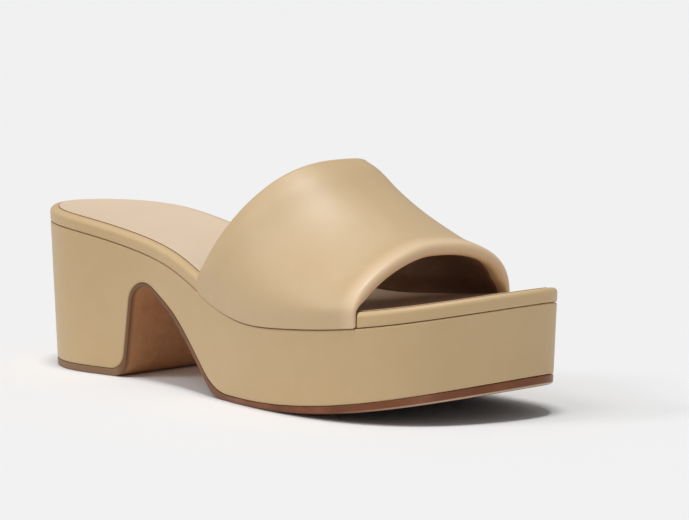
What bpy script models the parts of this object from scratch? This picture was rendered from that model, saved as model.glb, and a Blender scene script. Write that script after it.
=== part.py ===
# Platform slide sandal with a block heel, right foot, empty and standing on its sole.
# Metres. +X runs from heel to toe, +Y towards the big toe's side, +Z up.
# The origin is on the floor, in the middle of the heel's resting face.
# Run it in Blender 4.5: blender --background --python part.py

import math
from collections import namedtuple

import bmesh
import bpy
import numpy as np
from mathutils import Matrix, Vector

MM = 0.001

# Sole
SOLE_LENGTH = 248 * MM  # bottom outline, back of the heel to the tip of the toe
BALL_WIDTH = 86 * MM  # bottom outline, across the ball
HEEL_HEIGHT = 62 * MM  # floor to the top of the block, at the back
PLATFORM_HEIGHT = 32.2 * MM  # floor to the top of the block, under the ball
WALL_FLARE = 0.039  # how far the walls lean out for each unit of height
HEEL_CENTRE = 29.5 * MM  # back of the heel to the origin

# Underside
HEEL_BASE = 63 * MM  # back of the heel to its front edge, on the floor
BREAST_LEAN = 0.18  # how far the heel's front face leans forward for each unit of height
ARCH_HEIGHT = 44 * MM  # floor to the corner that the arch's round is drawn in
WAIST_ALONG = 0.418  # share of the way from the arch's corner to the ball where the line bends
WAIST_RISE = 0.671  # height of that bend, as a share of the arch's height
BALL_START = 128.6 * MM  # back of the heel to where the slope behind the ball meets the floor
REST_LENGTH = 23.4 * MM  # from there to where the toe starts to rise
TOE_SPRING = 12 * MM  # rise of the bottom at the toe's tip
REST_END = BALL_START + REST_LENGTH

# Rounds of the underside, and of the block's corners above it
HEEL_BASE_EDGE = 8 * MM
BLOCK_HEEL_CORNER = 8.5 * MM
ARCH_ROUND = 8 * MM
WAIST_ROUND = 70 * MM
BALL_ROUND = 14 * MM
BLOCK_BALL_CORNER = 20 * MM

# Layers
HEEL_COVER = 3 * MM  # outsole under the heel
BREAST_COVER = 1.7 * MM  # outsole up the heel's front face
ARCH_COVER = 1.7 * MM  # outsole under the arch
SHANK_COVER = 2.2 * MM  # outsole on the slope behind the ball
BALL_COVER = 2.4 * MM  # outsole under the ball
TOE_COVER = 3.8 * MM  # outsole at the tip of the toe
FOOTBED = 5.8 * MM  # board with its leather cover, at the edge
FOOTBED_ROUND = 2.2 * MM  # round of the cover over the top edge
FOOTBED_TUCK = 0.6 * MM  # how far the cover turns in at its bottom edge
FOOTBED_DISH = 0.8 * MM  # how much lower the middle of the footbed is
SOCK = 0.6 * MM
SOCK_MARGIN = 4 * MM  # bare rim of footbed outside the sock

# Upper
INSTEP_HEIGHT = 55 * MM  # footbed to the outside of the upper, at the middle of its back edge
UPPER_WALL = 4.8 * MM  # outer leather with the foam behind it
UPPER_MARGIN = 2 * MM  # the same wall where it is pared thin, beside the footbed
MARGIN_BLEND = 9 * MM  # height over which the thin margin grows to the full wall
UPPER_PROUD = 0.8 * MM  # how far the upper stands out past the block's wall
LINING = 0.8 * MM  # sheet inside the upper
LINING_MARGIN = 5.5 * MM  # from the upper's front and back edges to the lining
LINING_LIFT = 1.5 * MM  # from the footbed up to the lining

GAP = 0.3 * MM  # between pieces that are glued together

# How finely the curved forms are divided
BACK_STEPS = 22
SEAT_STEPS = 14
TOE_STEPS = 16
TOE_LINE_STEPS = 13
TOP_LINE_STEPS = 50
SETTLE_ROUNDS = 4  # a ring's height and its reach outwards depend on each other
ACROSS_STEPS = 4
ARC_STEP = math.radians(7)
UPPER_LENGTH_STEPS = 12
UPPER_ARCH_STEPS = 36
MARGIN_STEPS = 2
ROLL_STEPS = 4
SHARP_EDGE = math.radians(35)  # edges that bend more than this are shaded sharp
CUTTER_REACH = BALL_WIDTH  # how far a side view cutter runs to each side, and behind the heel
CUTTER_RUN_OUT = 16 * MM  # how far it runs past the toe
CURVE_WELD = 0.01 * MM  # closes the seams of a curve's caps

PlanPoint = namedtuple("PlanPoint", "along side")
TopPoint = namedtuple("TopPoint", "along rise")
Corner = namedtuple("Corner", "x z round block_round cover")
UpperSection = namedtuple(
    "UpperSection",
    "outer inner crown_along crown_side crown_rise outer_full inner_full outer_sweep inner_sweep",
)

# Bottom outline: along is a share of the sole's length, side a share of the ball width,
# and plus is the big toe's side. It runs down the little toe's side and back up the other.
OUTLINE = [
    PlanPoint(0.000, -0.030),
    PlanPoint(0.034, -0.225),
    PlanPoint(0.115, -0.354),
    PlanPoint(0.232, -0.338),
    PlanPoint(0.380, -0.342),
    PlanPoint(0.515, -0.430),
    PlanPoint(0.632, -0.498),
    PlanPoint(0.730, -0.518),
    PlanPoint(0.825, -0.488),
    PlanPoint(0.897, -0.400),
    PlanPoint(0.950, -0.250),
    PlanPoint(0.986, -0.030),
    PlanPoint(1.000, 0.155),
    PlanPoint(0.993, 0.318),
    PlanPoint(0.940, 0.432),
    PlanPoint(0.845, 0.474),
    PlanPoint(0.742, 0.478),
    PlanPoint(0.640, 0.441),
    PlanPoint(0.520, 0.368),
    PlanPoint(0.385, 0.322),
    PlanPoint(0.240, 0.334),
    PlanPoint(0.117, 0.315),
    PlanPoint(0.034, 0.182),
]

# Top of the block: rise is the share of the step from the platform up to the heel.
TOP_LINE = [
    TopPoint(-0.05, 1.020),
    TopPoint(0.01, 1.000),
    TopPoint(0.13, 0.935),
    TopPoint(0.26, 0.765),
    TopPoint(0.385, 0.530),
    TopPoint(0.50, 0.205),
    TopPoint(0.60, 0.015),
    TopPoint(0.70, -0.005),
    TopPoint(0.85, -0.025),
    TopPoint(1.05, -0.050),
]

# Sections of the upper from its back edge to its front edge. outer and inner are where the
# section stands on each side, and crown_along where its top is, as shares of the sole's length.
# crown_side is a share of the ball width, crown_rise one of the instep height. A full of 1 makes
# that side elliptical and less makes it squarer. A sweep above 1 keeps the foot of that side
# upright and carries its top forward.
UPPER_SECTIONS = [
    UpperSection(0.474, 0.476, 0.621, 0.120, 1.005, 0.77, 0.50, 1.15, 1.65),
    UpperSection(0.567, 0.571, 0.678, 0.089, 0.828, 0.90, 0.57, 1.65, 1.85),
    UpperSection(0.661, 0.666, 0.735, 0.058, 0.665, 1.03, 0.64, 2.15, 2.05),
    UpperSection(0.754, 0.760, 0.792, 0.027, 0.517, 1.16, 0.70, 2.60, 2.25),
    UpperSection(0.847, 0.854, 0.849, -0.004, 0.383, 1.28, 0.76, 2.95, 2.45),
]


def spline_slopes(knots, values, closed):
    """Slopes at the knots of the cubic spline through the values, closed or with free ends."""
    count = len(knots) - 1 if closed else len(knots)
    system = np.zeros((count, count))
    right = np.zeros((count, values.shape[1]))
    step = np.diff(knots)
    rate = np.diff(values, axis=0) / step[:, None]
    for i in range(count):
        if closed or 0 < i < count - 1:
            before, after = (i - 1) % len(step), i % len(step)
            system[i, (i - 1) % count] += step[after]
            system[i, i] += 2 * (step[before] + step[after])
            system[i, (i + 1) % count] += step[before]
            right[i] = 3 * (step[after] * rate[before] + step[before] * rate[after])
        else:
            beside, end = (1, 0) if i == 0 else (i - 1, -1)
            system[i, i] = 2
            system[i, beside] = 1
            right[i] = 3 * rate[end]
    slopes = np.linalg.solve(system, right)
    return np.vstack([slopes, slopes[:1]]) if closed else slopes


def spline_at(knots, values, slopes, places):
    """Points and directions of the spline at the places."""
    span = np.clip(np.searchsorted(knots, places, side="right") - 1, 0, len(knots) - 2)
    step = (knots[span + 1] - knots[span])[:, None]
    t = ((places - knots[span])[:, None]) / step
    a, b = values[span], values[span + 1]
    m, n = slopes[span] * step, slopes[span + 1] * step
    point = (
        (2 * t**3 - 3 * t**2 + 1) * a
        + (t**3 - 2 * t**2 + t) * m
        + (3 * t**2 - 2 * t**3) * b
        + (t**3 - t**2) * n
    )
    heading = (
        (6 * t**2 - 6 * t) * (a - b) + (3 * t**2 - 4 * t + 1) * m + (3 * t**2 - 2 * t) * n
    ) / step
    return point, heading


def column_spline(table, at, name):
    """A smooth function through one column of a table, by the table's column at."""
    knots = np.array([getattr(row, at) for row in table], float)
    values = np.array([[getattr(row, name)] for row in table], float)
    slopes = spline_slopes(knots, values, closed=False)
    return lambda places: spline_at(knots, values, slopes, np.atleast_1d(places))[0][:, 0]


def dense_outline(count=2400):
    """Points and outward normals of the bottom outline, close together."""
    table = [(row.along * SOLE_LENGTH, row.side * BALL_WIDTH) for row in OUTLINE]
    values = np.array(table + table[:1])
    # The root of the chord spaces the knots, which keeps the tight corners of the toe fair.
    chord = np.sqrt(np.linalg.norm(np.diff(values, axis=0), axis=1))
    knots = np.concatenate([[0], np.cumsum(chord)])
    slopes = spline_slopes(knots, values, closed=True)
    places = np.linspace(0, knots[-1], count, endpoint=False)
    point, heading = spline_at(knots, values, slopes, places)
    normal = np.column_stack([heading[:, 1], -heading[:, 0]])
    return point, normal / np.linalg.norm(normal, axis=1)[:, None]


def toe_rise(x):
    """Height of the bottom over the floor at x from the back of the heel."""
    reach = SOLE_LENGTH - REST_END
    radius = (reach**2 + TOE_SPRING**2) / (2 * TOE_SPRING)
    past = np.clip(np.asarray(x, float) - REST_END, 0, 0.9 * radius)
    return radius - np.sqrt(radius**2 - past**2)


top_line = column_spline(TOP_LINE, "along", "rise")


def block_top(x):
    """Height of the block's top at x from the back of the heel."""
    x = np.atleast_1d(np.asarray(x, float))
    step = HEEL_HEIGHT - PLATFORM_HEIGHT
    return toe_rise(x) + PLATFORM_HEIGHT + step * top_line(x / SOLE_LENGTH)


def footbed_top(x):
    return block_top(x) + GAP + FOOTBED


class Side:
    """One side of the bottom outline, from the back of the heel to the tip of the toe."""

    def __init__(self, point, normal):
        self.point, self.normal = point, normal
        step = np.linalg.norm(np.diff(point, axis=0), axis=1)
        self.arc = np.concatenate([[0], np.cumsum(step)])

    def arc_at(self, x):
        return np.interp(x, np.maximum.accumulate(self.point[:, 0]), self.arc)

    def at(self, arc):
        """Points and normals at lengths along the side."""
        return [
            np.column_stack([np.interp(arc, self.arc, column[:, i]) for i in (0, 1)])
            for column in (self.point, self.normal)
        ]


def outline_sides():
    """The little toe's side of the outline and the big toe's side."""
    point, normal = dense_outline()
    count = len(point)
    back, tip = int(point[:, 0].argmin()), int(point[:, 0].argmax())
    outer = np.arange(back, back + (tip - back) % count + 1) % count
    inner = np.arange(tip, tip + (back - tip) % count + 1)[::-1] % count
    return Side(point[outer], normal[outer]), Side(point[inner], normal[inner])


def upper_seat():
    """The back and front ends of the upper's foot, on the outer side and on the inner side."""
    back, front = UPPER_SECTIONS[0], UPPER_SECTIONS[-1]
    shares = ((back.outer, front.outer), (back.inner, front.inner))
    return [[share * SOLE_LENGTH for share in pair] for pair in shares]


class Plan:
    """The sole's outline as a ring of points, with the places where the upper is let in."""

    def __init__(self):
        points, normals, seated = [], [], []
        for side, (back, front) in zip(outline_sides(), upper_seat()):
            heel = side.arc_at(back - 2 * GAP)
            seat = side.arc_at(back - GAP), side.arc_at(front + GAP)
            toe = side.arc_at(front + 2 * GAP)
            arcs = [
                np.linspace(0, heel, BACK_STEPS + 1),
                np.linspace(*seat, SEAT_STEPS + 1),
                np.linspace(toe, side.arc[-1], TOE_STEPS + 1),
            ]
            point, normal = side.at(np.concatenate(arcs))
            points.append(point)
            normals.append(normal)
            seated.append(np.repeat([False, True, False], [len(run) for run in arcs]))
        self.side_count = len(points[0])
        self.point, self.normal, self.seated = (
            np.concatenate([outer, inner[-2:0:-1]]) for outer, inner in (points, normals, seated)
        )

    def ring(self, height, inset=0.0):
        """The outline flared with the wall and then set in, at the height of a function of x."""
        flat = self.point
        for _ in range(SETTLE_ROUNDS):
            level = height(flat[:, 0])
            flat = self.point + self.normal * (WALL_FLARE * level - inset)[:, None]
        return np.column_stack([flat, level])


def new_material(name, colour, roughness):
    material = bpy.data.materials.new(name)
    material.use_nodes = True
    shader = material.node_tree.nodes["Principled BSDF"]
    shader.inputs["Base Color"].default_value = (*colour, 1)
    shader.inputs["Roughness"].default_value = roughness
    shader.inputs["Metallic"].default_value = 0
    material.diffuse_color = (*colour, 1)
    return material


def new_object(name, mesh, collection, material=None):
    """A named object at the origin. Its points are given from the back of the heel."""
    mesh.transform(Matrix.Translation(Vector((-HEEL_CENTRE, 0, 0))))
    thing = bpy.data.objects.new(name, mesh)
    collection.objects.link(thing)
    if material:
        mesh.materials.append(material)
        mesh.shade_smooth()
        mesh.set_sharp_from_angle(angle=SHARP_EDGE)
    return thing


def finish_mesh(name, bm):
    bmesh.ops.recalc_face_normals(bm, faces=bm.faces)
    mesh = bpy.data.meshes.new(name)
    bm.to_mesh(mesh)
    bm.free()
    return mesh


def join_rings(bm, rings, closed=True):
    """Quads between rows of vertices."""
    for low, high in zip(rings, rings[1:]):
        count = len(low)
        for i in range(count if closed else count - 1):
            j = (i + 1) % count
            bm.faces.new((low[i], low[j], high[j], high[i]))


def wall_prism(name, collection, material):
    """The block's outline as a solid with flared walls, taller than the sole on both sides."""
    plan = Plan()
    bm = bmesh.new()
    rings = []
    for level in (-HEEL_COVER, HEEL_HEIGHT + PLATFORM_HEIGHT):
        rings.append([bm.verts.new(p) for p in plan.ring(lambda x: np.full(len(x), level))])
    join_rings(bm, rings)
    bm.faces.new(rings[0][::-1])
    bm.faces.new(rings[-1])
    return new_object(name, finish_mesh(name, bm), collection, material)


def side_cutter(name, outline, collection):
    """A side view outline, as (x, z) points, made into a solid across the whole shoe."""
    curve = bpy.data.curves.new(name, "CURVE")
    curve.dimensions = "2D"
    curve.fill_mode = "BOTH"
    curve.extrude = CUTTER_REACH
    line = curve.splines.new("POLY")
    line.points.add(len(outline) - 1)
    for place, (x, z) in zip(line.points, outline):
        place.co = (x, z, 0, 1)
    line.use_cyclic_u = True
    drawn = bpy.data.objects.new(name + "_drawn", curve)
    collection.objects.link(drawn)
    drawn.rotation_euler = (math.pi / 2, 0, 0)
    bpy.context.view_layer.update()
    graph = bpy.context.evaluated_depsgraph_get()
    mesh = bpy.data.meshes.new_from_object(drawn.evaluated_get(graph))
    mesh.transform(drawn.matrix_world)
    bpy.data.objects.remove(drawn)
    bm = bmesh.new()
    bm.from_mesh(mesh)
    bmesh.ops.remove_doubles(bm, verts=bm.verts, dist=CURVE_WELD)
    return new_object(name, finish_mesh(name, bm), collection)


def keep_inside(thing, cutter):
    cut = thing.modifiers.new("inside_cutter", "BOOLEAN")
    cut.operation = "INTERSECT"
    cut.object = cutter
    cut.solver = "EXACT"


def underside_corners():
    """Corners of the underside's line, heel to ball. cover is the layer on the line after each."""
    breast_top = HEEL_BASE + BREAST_LEAN * ARCH_HEIGHT
    waist = breast_top + WAIST_ALONG * (BALL_START - breast_top), WAIST_RISE * ARCH_HEIGHT
    return [
        Corner(-CUTTER_REACH, 0, 0, 0, HEEL_COVER),
        Corner(HEEL_BASE, 0, HEEL_BASE_EDGE, BLOCK_HEEL_CORNER, BREAST_COVER),
        Corner(breast_top, ARCH_HEIGHT, ARCH_ROUND, ARCH_ROUND + ARCH_COVER, ARCH_COVER),
        Corner(*waist, WAIST_ROUND, WAIST_ROUND + SHANK_COVER, SHANK_COVER),
        Corner(BALL_START, 0, BALL_ROUND, BLOCK_BALL_CORNER, BALL_COVER),
        Corner(REST_END, 0, 0, 0, BALL_COVER),
    ]


def raised_corners(extra):
    """The same line moved up into the shoe by each cover and the extra, with its own rounds."""
    corners = underside_corners()
    lines = []
    for start, end in zip(corners, corners[1:]):
        along = Vector((end.x - start.x, end.z - start.z)).normalized()
        inwards = Vector((-along.y, along.x))
        lines.append((Vector((start.x, start.z)) + inwards * (start.cover + extra), along))
    moved = [Corner(*lines[0][0], 0, 0, 0)]
    for (place, along), (other, heading), old in zip(lines, lines[1:], corners[1:]):
        cross = along.x * heading.y - along.y * heading.x
        step = other - place
        meet = place + along * ((step.x * heading.y - step.y * heading.x) / cross)
        # A corner that turns up gets tighter as it moves into the shoe, and the others wider.
        change = -extra if cross > 0 else extra
        moved.append(Corner(*meet, old.block_round + change, 0, 0))
    moved.append(Corner(REST_END, BALL_COVER + extra, 0, 0, 0))
    return moved


def rounded_line(corners):
    """Points of a line through the corners with each corner turned into an arc."""
    points = [(corners[0].x, corners[0].z)]
    for before, here, after in zip(corners, corners[1:], corners[2:]):
        place = Vector((here.x, here.z))
        back = (Vector((before.x, before.z)) - place).normalized()
        ahead = (Vector((after.x, after.z)) - place).normalized()
        half = back.angle(ahead) / 2
        middle = (back + ahead).normalized()
        centre = place + middle * (here.round / math.sin(half))
        tangent = here.round / math.tan(half)
        start = place + back * tangent - centre
        sweep = start.angle_signed(place + ahead * tangent - centre)
        count = max(2, math.ceil(abs(sweep) / ARC_STEP))
        base = math.atan2(start.y, start.x)
        for i in range(count + 1):
            turn = base - sweep * i / count
            points.append(
                (centre.x + here.round * math.cos(turn), centre.y + here.round * math.sin(turn))
            )
    points.append((corners[-1].x, corners[-1].z))
    return points


def toe_line(first_lift, last_lift):
    """Points of the bottom from the end of its flat rest to past the toe, lifted."""
    reach = np.linspace(REST_END, SOLE_LENGTH + CUTTER_RUN_OUT, TOE_LINE_STEPS + 1)[1:]
    lift = np.interp(reach, (REST_END, SOLE_LENGTH), (first_lift, last_lift))
    return list(zip(reach, toe_rise(reach) + lift))


def underside():
    return rounded_line(underside_corners()) + toe_line(0, 0)


def covered_underside(extra):
    """The top of the outsole, or with an extra the block's underside above it."""
    return rounded_line(raised_corners(extra)) + toe_line(BALL_COVER + extra, TOE_COVER + extra)


def top_line_points():
    """Points of the block's top line, from past the toe to behind the heel."""
    x = np.linspace(SOLE_LENGTH + CUTTER_RUN_OUT / 2, -CUTTER_RUN_OUT, TOP_LINE_STEPS + 1)
    return list(zip(x, block_top(x)))


def make_block(parts, cutters, leather):
    """Platform and heel in one piece, with an arch cut between them."""
    block = wall_prism("platform_heel", parts, leather)
    profile = covered_underside(GAP) + top_line_points()
    keep_inside(block, side_cutter("block_side", profile, cutters))


def make_outsole(parts, cutters, leather):
    """Outsole in one piece: under the toe, through the arch, down the breast, under the heel."""
    outsole = wall_prism("outsole", parts, leather)
    profile = underside() + covered_underside(0)[::-1]
    keep_inside(outsole, side_cutter("outsole_side", profile, cutters))


def close_with_ladder(bm, ring, side_count, height, dish):
    """A surface across a ring, in rungs from its outer side to its inner side."""
    count = side_count - 1
    rungs = []
    for i in range(1, count):
        left, right = ring[i], ring[len(ring) - i]
        rung = [left]
        for k in range(1, ACROSS_STEPS):
            share = k / ACROSS_STEPS
            place = left.co.lerp(right.co, share)
            lower = dish * 4 * share * (1 - share)
            place.z = float(height(place.x)[0]) - lower
            rung.append(bm.verts.new(place))
        rungs.append(rung + [right])
    join_rings(bm, rungs, closed=False)
    for tip, rung in ((ring[0], rungs[0]), (ring[count], rungs[-1])):
        for a, b in zip(rung, rung[1:]):
            bm.faces.new((tip, a, b))


def layer_solid(name, plan, levels, bottom, top, dish, collection, material):
    """A closed layer of the sole. levels are (height over the block, inset) of its rings."""
    bm = bmesh.new()
    rings = []
    for lift, inset in levels:
        ring = plan.ring(lambda x: block_top(x) + lift, inset)
        rings.append([bm.verts.new(p) for p in ring])
    join_rings(bm, rings)
    close_with_ladder(bm, rings[0], plan.side_count, bottom, dish[0])
    close_with_ladder(bm, rings[-1], plan.side_count, top, dish[1])
    new_object(name, finish_mesh(name, bm), collection, material)


def make_footbed(parts, leather):
    """Covered board under the whole foot, let in at both sides where the upper comes down."""
    plan = Plan()
    recess = plan.seated * (UPPER_MARGIN - UPPER_PROUD + GAP)
    levels = [(GAP, FOOTBED_TUCK + recess), (GAP + FOOTBED_TUCK, recess)]
    for turn in (0, 30, 60, 90):
        angle = math.radians(turn)
        lift = GAP + FOOTBED - FOOTBED_ROUND * (1 - math.sin(angle))
        levels.append((lift, recess + FOOTBED_ROUND * (1 - math.cos(angle))))
    layer_solid(
        "footbed",
        plan,
        levels,
        lambda x: block_top(x) + GAP,
        footbed_top,
        (0, FOOTBED_DISH),
        parts,
        leather,
    )


def make_sock(parts, leather):
    """Thin leather sock on the footbed, inside its bare rim."""
    plan = Plan()
    base = GAP + FOOTBED + GAP
    levels = [(base, SOCK_MARGIN), (base + SOCK, SOCK_MARGIN + SOCK / 4)]
    layer_solid(
        "sock_lining",
        plan,
        levels,
        lambda x: footbed_top(x) + GAP,
        lambda x: footbed_top(x) + GAP + SOCK,
        (FOOTBED_DISH, FOOTBED_DISH),
        parts,
        leather,
    )


def section_rows(shares):
    """Sections of the upper at shares of the way from its back edge to its front edge."""
    index = np.arange(len(UPPER_SECTIONS)) / (len(UPPER_SECTIONS) - 1)
    rows = np.array(UPPER_SECTIONS, float)
    slopes = spline_slopes(index, rows, closed=False)
    return [UpperSection(*row) for row in spline_at(index, rows, slopes, shares)[0]]


def upper_surface(shares):
    """Outside of the upper: for each share, a section from the outer side to the inner side."""
    sides = outline_sides()
    sections = []
    for row in section_rows(shares):
        crown_x = row.crown_along * SOLE_LENGTH
        crown_z = footbed_top(crown_x)[0] + row.crown_rise * INSTEP_HEIGHT
        crown = np.array([crown_x, row.crown_side * BALL_WIDTH, crown_z])
        halves = []
        ends = (
            (sides[0], row.outer, row.outer_full, row.outer_sweep),
            (sides[1], row.inner, row.inner_full, row.inner_sweep),
        )
        for side, along, full, sweep in ends:
            x = along * SOLE_LENGTH
            point, normal = (column[0] for column in side.at(side.arc_at(np.array([x]))))
            half = []
            for lift in np.linspace(GAP, GAP + FOOTBED, MARGIN_STEPS + 1):
                height = block_top(x)[0] + lift
                flat = point + normal * (WALL_FLARE * height + UPPER_PROUD)
                half.append([*flat, height])
            foot = np.array(half[-1])
            for turn in np.linspace(0, math.pi / 2, UPPER_ARCH_STEPS // 2 + 1)[1:]:
                rise = math.sin(turn) ** full
                cross = 1 - max(math.cos(turn), 0) ** full
                half.append(foot + (crown - foot) * np.array([rise**sweep, cross, rise]))
            halves.append(half)
        sections.append(halves[0] + halves[1][-2::-1])
    return np.array(sections, float)


def surface_normals(surface):
    lengthwise = np.gradient(surface, axis=0)
    across = np.gradient(surface, axis=1)
    normal = np.cross(across, lengthwise)
    normal /= np.linalg.norm(normal, axis=2)[:, :, None]
    outwards = surface - surface.mean(axis=(0, 1))
    return normal if (normal * outwards).sum() > 0 else -normal


def upper_wall(surface):
    """Thickness of the upper at each point. Beside the footbed it is pared thin."""
    base = footbed_top(surface[:, :, 0].ravel()).reshape(surface.shape[:2])
    grown = np.clip((surface[:, :, 2] - base) / MARGIN_BLEND, 0, 1)
    return UPPER_MARGIN + (UPPER_WALL - UPPER_MARGIN) * grown * grown * (3 - 2 * grown)


def make_upper(parts, leather):
    """One padded band over the foot, open at the toe and behind, with rolled edges."""
    surface = upper_surface(np.linspace(0, 1, UPPER_LENGTH_STEPS + 1))
    normal = surface_normals(surface)
    wall = upper_wall(surface)
    bm = bmesh.new()
    loops = []
    for j in range(surface.shape[1]):
        line, out, thick = surface[:, j], normal[:, j], wall[:, j]
        edges = []
        for end, beside in ((0, 1), (-1, -2)):
            heading = line[end] - line[beside]
            heading -= out[end] * heading.dot(out[end])
            heading /= np.linalg.norm(heading)
            edges.append((heading, thick[end] / 2))
        back, front = edges
        outside = line.copy()
        outside[0] -= back[0] * back[1]
        outside[-1] -= front[0] * front[1]
        loop = list(outside)
        turns = np.linspace(0, math.pi, ROLL_STEPS + 2)[1:-1]
        centre = outside[-1] - out[-1] * front[1]
        loop += [centre + front[1] * (out[-1] * math.cos(t) + front[0] * math.sin(t)) for t in turns]
        loop += list((outside - out * thick[:, None])[::-1])
        centre = outside[0] - out[0] * back[1]
        loop += [centre + back[1] * (-out[0] * math.cos(t) + back[0] * math.sin(t)) for t in turns]
        loops.append([bm.verts.new(p) for p in loop])
    join_rings(bm, loops)
    bm.faces.new(loops[0][::-1])
    bm.faces.new(loops[-1])
    new_object("upper", finish_mesh("upper", bm), parts, leather)


def make_lining(parts, leather):
    """Thin sheet inside the upper, short of its rolled edges and of the footbed."""
    surface = upper_surface(np.linspace(0, 1, UPPER_LENGTH_STEPS + 1))
    data = np.concatenate(
        [surface, surface_normals(surface), upper_wall(surface)[:, :, None]], axis=2
    )
    # The lowest line on each side is moved up from the footbed's level to the lining's edge.
    foot, last = MARGIN_STEPS, data.shape[1] - 1 - MARGIN_STEPS
    for edge, above in ((foot, foot + 1), (last, last - 1)):
        share = LINING_LIFT / (data[:, above, 2:3] - data[:, edge, 2:3])
        data[:, edge] += (data[:, above] - data[:, edge]) * share
    bm = bmesh.new()
    loops = []
    for line in np.swapaxes(data[:, foot : last + 1], 0, 1):
        step = np.linalg.norm(np.diff(line[:, :3], axis=0), axis=1)
        arc = np.concatenate([[0], np.cumsum(step)])
        places = np.linspace(LINING_MARGIN, arc[-1] - LINING_MARGIN, UPPER_LENGTH_STEPS + 1)
        point = np.column_stack([np.interp(places, arc, line[:, i]) for i in range(line.shape[1])])
        away = point[:, 3:6] / np.linalg.norm(point[:, 3:6], axis=1)[:, None]
        outside = point[:, :3] - away * (point[:, 6:] + GAP)
        inside = outside - away * LINING
        loops.append([bm.verts.new(p) for p in [*outside, *inside[::-1]]])
    join_rings(bm, loops)
    bm.faces.new(loops[0][::-1])
    bm.faces.new(loops[-1])
    new_object("upper_lining", finish_mesh("upper_lining", bm), parts, leather)


def main():
    for thing in list(bpy.data.objects):
        bpy.data.objects.remove(thing)
    parts = bpy.data.collections.new("slide_sandal")
    cutters = bpy.data.collections.new("cutters")
    bpy.context.scene.collection.children.link(parts)
    bpy.context.scene.collection.children.link(cutters)

    tan = new_material("tan_leather", (0.56, 0.40, 0.23), 0.42)
    sock = new_material("sock_leather", (0.66, 0.49, 0.35), 0.5)
    brown = new_material("brown_outsole_leather", (0.13, 0.045, 0.022), 0.35)
    dark = new_material("dark_lining_leather", (0.07, 0.035, 0.02), 0.6)

    make_outsole(parts, cutters, brown)
    make_block(parts, cutters, tan)
    make_footbed(parts, tan)
    make_sock(parts, sock)
    make_upper(parts, tan)
    make_lining(parts, dark)
    for cutter in cutters.objects:
        cutter.hide_render = True
        cutter.display_type = "WIRE"


main()
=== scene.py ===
# Platform slide sandal, right foot, on a pale studio floor.
# Metres. +X runs from heel to toe, +Y towards the big toe's side, +Z up.

import math

import bmesh
import bpy
import numpy as np
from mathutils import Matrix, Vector


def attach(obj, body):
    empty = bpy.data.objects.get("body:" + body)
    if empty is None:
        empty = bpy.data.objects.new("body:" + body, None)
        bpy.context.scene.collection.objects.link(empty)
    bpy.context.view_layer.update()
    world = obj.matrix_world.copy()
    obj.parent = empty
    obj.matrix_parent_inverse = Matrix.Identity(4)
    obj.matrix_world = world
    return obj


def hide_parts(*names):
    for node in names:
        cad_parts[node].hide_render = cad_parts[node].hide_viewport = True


mm = 0.001

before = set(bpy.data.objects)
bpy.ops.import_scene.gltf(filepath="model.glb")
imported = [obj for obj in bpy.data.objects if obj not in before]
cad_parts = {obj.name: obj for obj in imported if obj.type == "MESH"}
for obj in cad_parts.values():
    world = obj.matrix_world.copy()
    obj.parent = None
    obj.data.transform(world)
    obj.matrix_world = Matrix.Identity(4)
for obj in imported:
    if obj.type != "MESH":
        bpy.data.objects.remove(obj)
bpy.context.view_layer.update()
print("frame loaded:", ", ".join(sorted(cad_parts)))

# The camera's place, as it was fitted to the photograph. The image is 689 by 520 pixels.
camera = {
    "azimuth": math.radians(45.0),
    "elevation": math.radians(6.3),
    "distance": 1.0165,
    "aim": Vector((0.1336, 0, 0.0545)),
    "lens": 135.6,
    "sensor": 36,
}

# The sole's walls and its top line. Lengths are counted from the back of the heel.
sole = {
    "length": 248 * mm,
    "ballWidth": 86 * mm,
    "heelHeight": 62 * mm,
    "platformHeight": 32.2 * mm,
    "flare": 0.039,  # lean of the walls outwards
    "heelCentre": 29.5 * mm,
    "heelSteps": 44,
    "toeSteps": 76,
    "step": 1.6 * mm,
    "heelRun": 16 * mm,  # the ends of the outline, where steps go round it and not along
    "toeRun": 26 * mm,
    "archEnd": 100 * mm,  # up to here the steps also follow the underside's slope
    "archCrowding": 1.6,
    "leastStep": 0.06 * mm,
    "outlineSteps": 4800,
    # shares of the length and of the ball's width, little toe's side first
    "outline": [
        (0.000, -0.030), (0.034, -0.225), (0.115, -0.354), (0.232, -0.338), (0.380, -0.342),
        (0.515, -0.430), (0.632, -0.498), (0.730, -0.518), (0.825, -0.488), (0.897, -0.400),
        (0.950, -0.250), (0.986, -0.030), (1.000, 0.155), (0.993, 0.318), (0.940, 0.432),
        (0.845, 0.474), (0.742, 0.478), (0.640, 0.441), (0.520, 0.368), (0.385, 0.322),
        (0.240, 0.334), (0.117, 0.315), (0.034, 0.182),
    ],
    # share of the length, share of the step from the platform up to the heel
    "topLine": [
        (-0.05, 1.020), (0.01, 1.000), (0.13, 0.935), (0.26, 0.765), (0.385, 0.530),
        (0.50, 0.205), (0.60, 0.015), (0.70, -0.005), (0.85, -0.025), (1.05, -0.050),
    ],
}


# Curves through listed points

def slopesThrough(knots, values, closed):
    count = len(knots) - 1 if closed else len(knots)
    system = np.zeros((count, count))
    right = np.zeros((count, values.shape[1]))
    step = np.diff(knots)
    rate = np.diff(values, axis=0) / step[:, None]
    for i in range(count):
        if closed or 0 < i < count - 1:
            before, after = (i - 1) % len(step), i % len(step)
            system[i, (i - 1) % count] += step[after]
            system[i, i] += 2 * (step[before] + step[after])
            system[i, (i + 1) % count] += step[before]
            right[i] = 3 * (step[after] * rate[before] + step[before] * rate[after])
        else:
            beside, end = (1, 0) if i == 0 else (i - 1, -1)
            system[i, i] = 2
            system[i, beside] = 1
            right[i] = 3 * rate[end]
    slopes = np.linalg.solve(system, right)
    return np.vstack([slopes, slopes[:1]]) if closed else slopes


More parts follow.
